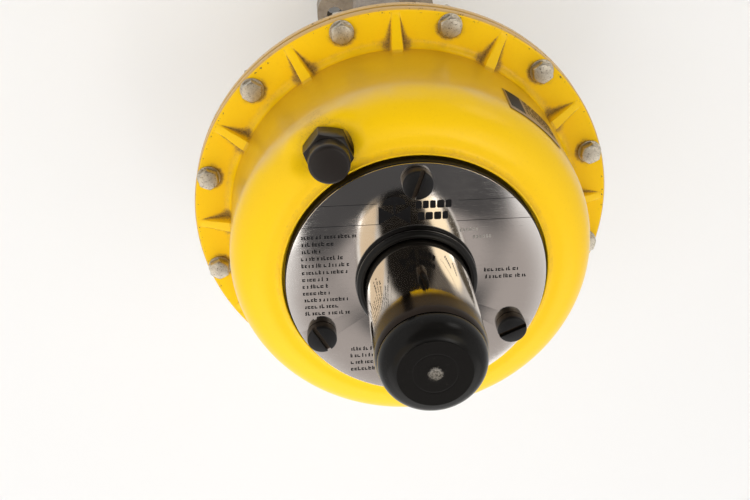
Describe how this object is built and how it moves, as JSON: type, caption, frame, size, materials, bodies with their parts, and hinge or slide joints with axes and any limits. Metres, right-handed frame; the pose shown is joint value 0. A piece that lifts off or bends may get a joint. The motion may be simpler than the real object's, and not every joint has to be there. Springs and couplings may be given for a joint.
{
  "type": "pneumatic diaphragm valve actuator",
  "caption": "Spring-return pneumatic diaphragm actuator on a cast yoke, with a bolted two-part casing, stem tube and end cap, vent plug, stem coupling and travel pointer.",
  "frame": {"origin": "centre of the yoke's foot, on the face that stands on the valve's bonnet", "axes": "+Z along the stem towards the end cap, +X out of the front half of the coupling, +Y the upward reading direction of the name plate"},
  "size_m": [0.245, 0.245, 0.3682],
  "materials": {
    "yellow_paint": "glossy yellow enamel with chips and dirt",
    "bare_casting": "bare grey casting, matt",
    "bolt_steel": "dull warm-grey stainless fasteners",
    "polished_steel": "polished stainless tube, finely scratched",
    "plate_mirror": "polished name plate, finely scratched, printed black",
    "black_steel": "blackened steel, worn",
    "black_plastic": "satin black moulded plastic",
    "black_rubber": "black rubber",
    "spring_steel": "grey coated spring wire",
    "brass": "machined brass",
    "label_foil": "thin silver foil"
  },
  "bodies": {
    "frame": {"upper_casing": "yellow_paint", "lower_casing": "yellow_paint", "yoke": "bare_casting", "yoke_nut": "bare_casting", "flange_bolt_01": "bolt_steel", "flange_bolt_02": "bolt_steel", "flange_bolt_03": "bolt_steel", "flange_bolt_04": "bolt_steel", "flange_bolt_05": "bolt_steel", "flange_bolt_06": "bolt_steel", "flange_bolt_07": "bolt_steel", "flange_bolt_08": "bolt_steel", "flange_bolt_09": "bolt_steel", "flange_bolt_10": "bolt_steel", "flange_bolt_11": "bolt_steel", "flange_bolt_12": "bolt_steel", "flange_nut_01": "bolt_steel", "flange_nut_02": "bolt_steel", "flange_nut_03": "bolt_steel", "flange_nut_04": "bolt_steel", "flange_nut_05": "bolt_steel", "flange_nut_06": "bolt_steel", "flange_nut_07": "bolt_steel", "flange_nut_08": "bolt_steel", "flange_nut_09": "bolt_steel", "flange_nut_10": "bolt_steel", "flange_nut_11": "bolt_steel", "flange_nut_12": "bolt_steel", "stem_tube": "polished_steel", "name_plate": "plate_mirror", "spring_cover": "black_steel", "cover_screw_1": "black_steel", "cover_screw_2": "black_steel", "cover_screw_3": "black_steel", "vent_plug": "black_plastic", "diaphragm": "black_rubber", "tube_seal_ring": "black_rubber", "vent_gasket": "black_rubber", "stem_seal": "black_rubber", "wiper_ring": "black_rubber", "outer_spring": "spring_steel", "inner_spring": "spring_steel", "lower_bush": "brass", "guide_bush": "brass", "air_inlet_fitting": "brass", "rating_label": "label_foil", "travel_scale": "label_foil"},
    "stem_assembly": {"stem": "polished_steel", "diaphragm_plate": "bare_casting", "diaphragm_retainer": "bolt_steel", "stem_nut": "bolt_steel", "travel_stop_nut": "bolt_steel", "stop_locknut": "bolt_steel", "coupling_front": "bolt_steel", "coupling_rear": "bolt_steel", "coupling_screw_1": "black_steel", "coupling_screw_2": "black_steel", "travel_pointer": "bolt_steel"},
    "end_cap": {"tube_end_cap": "black_plastic"}
  },
  "joints": [
    {"name": "stem_stroke", "type": "slide", "parent": "frame", "child": "stem_assembly", "axis": [0, 0, 1], "range_m": [0, 0.02], "stiffness_N_per_m": 96000, "springref_m": -0.005, "deforming": ["diaphragm", "outer_spring", "inner_spring"]},
    {"name": "cap_pull", "type": "slide", "parent": "frame", "child": "end_cap", "axis": [0, 0, 1], "range_m": [0, 0.03]}
  ]
}
